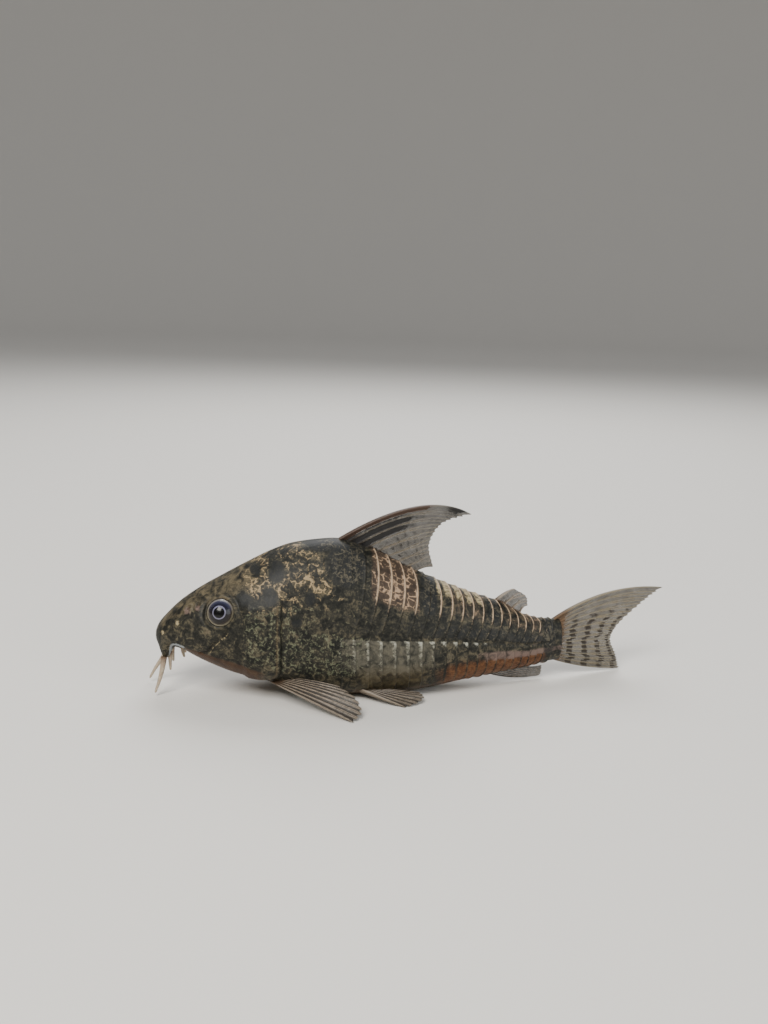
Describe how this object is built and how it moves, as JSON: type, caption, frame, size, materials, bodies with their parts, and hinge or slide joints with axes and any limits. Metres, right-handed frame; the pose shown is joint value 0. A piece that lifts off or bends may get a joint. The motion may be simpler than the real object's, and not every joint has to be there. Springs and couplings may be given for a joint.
{
  "type": "corydoras catfish model",
  "caption": "Life-size still model of a peppered corydoras catfish resting on its belly, with armoured flanks, spread fins and barbels.",
  "frame": {"origin": "middle of the belly flat that the fish rests on, at the level of the floor", "axes": "snout towards -X, back towards +Z, the fish's left flank towards -Y and its right flank towards +Y"},
  "size_m": [0.0735, 0.025, 0.0255],
  "materials": {
    "head_skin": "wet dark olive-brown skin with fine golden mottling",
    "flank_skin": "wet bony scutes, dark above and rust-brown below",
    "dorsal_membrane": "thin dusky membrane with a reddish brown spine",
    "fin_membrane": "thin clear membrane with pale rays and rows of brown spots",
    "barbel_skin": "soft pale tan skin",
    "eye": "wet dark iris with a thin pale ring around a black pupil"
  },
  "bodies": {
    "root": {"head": "head_skin", "torso": "flank_skin", "tail": "flank_skin", "dorsal_fin": "dorsal_membrane", "adipose_fin": "fin_membrane", "anal_fin": "fin_membrane", "caudal_fin": "fin_membrane", "pectoral_fin_left": "fin_membrane", "pelvic_fin_left": "fin_membrane", "eye_left": "eye", "upper_barbel_left": "barbel_skin", "lower_barbel_left": "barbel_skin", "lip_barbel_left": "barbel_skin", "pectoral_fin_right": "fin_membrane", "pelvic_fin_right": "fin_membrane", "eye_right": "eye", "upper_barbel_right": "barbel_skin", "lower_barbel_right": "barbel_skin", "lip_barbel_right": "barbel_skin"}
  },
  "joints": []
}
